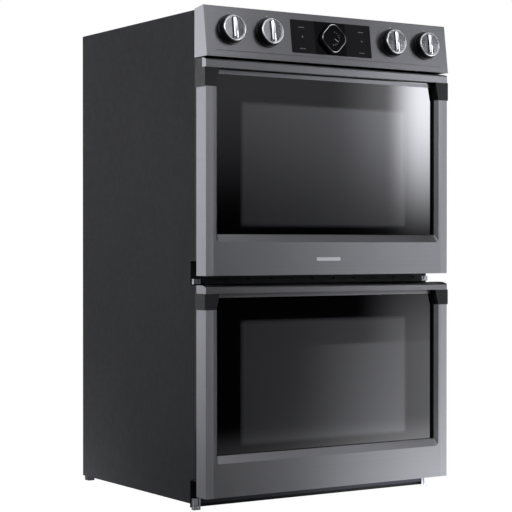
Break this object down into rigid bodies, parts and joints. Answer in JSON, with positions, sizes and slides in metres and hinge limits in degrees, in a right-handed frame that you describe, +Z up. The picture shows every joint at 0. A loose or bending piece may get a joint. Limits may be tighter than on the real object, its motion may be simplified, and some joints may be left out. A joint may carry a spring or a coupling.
{
  "type": "double wall oven",
  "caption": "Built-in double wall oven with a leaning control fascia, drop-down glass doors with full-width pull rails, racks and fans.",
  "frame": {"origin": "middle of the footprint's box, on the floor", "axes": "+Z up, -Y out of the front, +X to the right seen from the front"},
  "size_m": [0.762, 0.7317, 1.247],
  "materials": {
    "cabinet_paint": "matte dark grey",
    "galvanised_sheet": "dull galvanised steel",
    "frame_black": "satin black",
    "black_stainless": "horizontal brushed dark stainless",
    "rail_stainless": "horizontal brushed dark stainless",
    "end_cap_metal": "satin",
    "block_plastic": "matte dark grey",
    "black_plastic": "satin black",
    "door_glass": "dark, gloss",
    "inner_glass": "clear, gloss",
    "display_glass": "black, gloss",
    "enamel": "speckled dark enamel",
    "wool": "mineral wool",
    "gasket_weave": "woven glass fibre",
    "chrome": "polished",
    "element_metal": "oxidised steel sheath",
    "motor_metal": "satin",
    "lamp_glass": "clear",
    "board": "green board",
    "zinc": "zinc plated",
    "rubber_black": "matte"
  },
  "bodies": {
    "cabinet": {"base_pan": "galvanised_sheet", "blower_housing": "galvanised_sheet", "control_board": "board", "control_fascia": "black_stainless", "display_glass": "display_glass", "door_gaskets": "gasket_weave", "fan_covers": "enamel", "fan_motors": "motor_metal", "fascia_end_caps": "end_cap_metal", "front_brackets": "zinc", "front_frame": "frame_black", "heating_elements": "element_metal", "hinge_receivers": "zinc", "insulation_wraps": "wool", "junction_box": "galvanised_sheet", "knob_collars": "black_plastic", "lower_cavity": "enamel", "oven_lamps": "lamp_glass", "panel_screws": "zinc", "rack_guides": "chrome", "rear_feet": "rubber_black", "rear_panel": "galvanised_sheet", "side_panel_left": "cabinet_paint", "side_panel_right": "cabinet_paint", "temperature_sensors": "motor_metal", "top_cover": "galvanised_sheet", "upper_cavity": "enamel", "vent_trims": "black_plastic"},
    "knob_1": {"knob_1": "chrome"},
    "knob_2": {"knob_2": "chrome"},
    "knob_3": {"knob_3": "chrome"},
    "knob_4": {"knob_4": "chrome"},
    "dial_ring": {"dial_ring": "chrome"},
    "dial_button": {"dial_button": "black_plastic"},
    "blower_wheel": {"blower_wheel": "galvanised_sheet"},
    "upper_door": {"upper_door_frame": "black_stainless", "upper_door_surround": "black_plastic", "upper_door_glass": "door_glass", "upper_door_liner": "enamel", "upper_inner_glass": "inner_glass", "upper_handle_rail": "rail_stainless", "upper_handle_ends": "block_plastic", "upper_hinge_arms": "zinc", "badge": "rail_stainless"},
    "upper_rack": {"upper_rack": "chrome"},
    "upper_fan": {"upper_fan": "motor_metal"},
    "upper_latch": {"upper_latch": "zinc"},
    "upper_door_plunger": {"upper_door_plunger": "black_plastic"},
    "lower_door": {"lower_door_frame": "black_stainless", "lower_door_surround": "black_plastic", "lower_door_glass": "door_glass", "lower_door_liner": "enamel", "lower_inner_glass": "inner_glass", "lower_handle_rail": "rail_stainless", "lower_handle_ends": "block_plastic", "lower_hinge_arms": "zinc"},
    "lower_rack": {"lower_rack": "chrome"},
    "lower_fan": {"lower_fan": "motor_metal"},
    "lower_latch": {"lower_latch": "zinc"},
    "lower_door_plunger": {"lower_door_plunger": "black_plastic"}
  },
  "joints": [
    {"name": "knob_1_turn", "type": "hinge", "parent": "cabinet", "child": "knob_1", "pos_m": [-0.305, -0.32988, 1.1889], "axis": [0, -0.9912, 0.1322], "range_deg": [-300, 0]},
    {"name": "knob_2_turn", "type": "hinge", "parent": "cabinet", "child": "knob_2", "pos_m": [-0.194, -0.32988, 1.1889], "axis": [0, -0.9912, 0.1322], "range_deg": [-300, 0]},
    {"name": "knob_3_turn", "type": "hinge", "parent": "cabinet", "child": "knob_3", "pos_m": [0.194, -0.32988, 1.1889], "axis": [0, -0.9912, 0.1322], "range_deg": [-300, 0]},
    {"name": "knob_4_turn", "type": "hinge", "parent": "cabinet", "child": "knob_4", "pos_m": [0.305, -0.32988, 1.1889], "axis": [0, -0.9912, 0.1322], "range_deg": [-300, 0]},
    {"name": "dial_turn", "type": "hinge", "parent": "cabinet", "child": "dial_ring", "pos_m": [0, -0.33028, 1.18592], "axis": [0, -0.9912, 0.1322], "continuous": true},
    {"name": "dial_push", "type": "slide", "parent": "dial_ring", "child": "dial_button", "axis": [0, 0.9912, -0.1322], "range_m": [0, 0.0015], "stiffness_N_per_m": 800, "springref_m": -0.0005},
    {"name": "blower_spin", "type": "hinge", "parent": "cabinet", "child": "blower_wheel", "pos_m": [-0.09, 0.15, 1.113], "axis": [0, 0, 1], "continuous": true},
    {"name": "upper_door_hinge", "type": "hinge", "parent": "cabinet", "child": "upper_door", "pos_m": [0, -0.297, 0.611], "axis": [1, 0, 0], "range_deg": [0, 90], "stiffness_Nm_per_rad": 14, "springref_deg": -17.19},
    {"name": "upper_rack_slide", "type": "slide", "parent": "cabinet", "child": "upper_rack", "axis": [0, -1, 0], "range_m": [0, 0.018]},
    {"name": "upper_fan_spin", "type": "hinge", "parent": "cabinet", "child": "upper_fan", "pos_m": [0, 0.2, 0.853], "axis": [0, 1, 0], "continuous": true},
    {"name": "upper_latch_turn", "type": "hinge", "parent": "cabinet", "child": "upper_latch", "pos_m": [0, -0.257, 1.08], "axis": [-1, 0, 0], "range_deg": [0, 12]},
    {"name": "upper_door_switch", "type": "slide", "parent": "cabinet", "child": "upper_door_plunger", "axis": [0, 1, 0], "range_m": [0, 0.003], "stiffness_N_per_m": 300, "springref_m": -0.001},
    {"name": "lower_door_hinge", "type": "hinge", "parent": "cabinet", "child": "lower_door", "pos_m": [0, -0.297, 0.0655], "axis": [1, 0, 0], "range_deg": [0, 90], "stiffness_Nm_per_rad": 14, "springref_deg": -17.19},
    {"name": "lower_rack_slide", "type": "slide", "parent": "cabinet", "child": "lower_rack", "axis": [0, -1, 0], "range_m": [0, 0.018]},
    {"name": "lower_fan_spin", "type": "hinge", "parent": "cabinet", "child": "lower_fan", "pos_m": [0, 0.2, 0.3075], "axis": [0, 1, 0], "continuous": true},
    {"name": "lower_latch_turn", "type": "hinge", "parent": "cabinet", "child": "lower_latch", "pos_m": [0, -0.257, 0.5345], "axis": [-1, 0, 0], "range_deg": [0, 12]},
    {"name": "lower_door_switch", "type": "slide", "parent": "cabinet", "child": "lower_door_plunger", "axis": [0, 1, 0], "range_m": [0, 0.003], "stiffness_N_per_m": 300, "springref_m": -0.001}
  ]
}
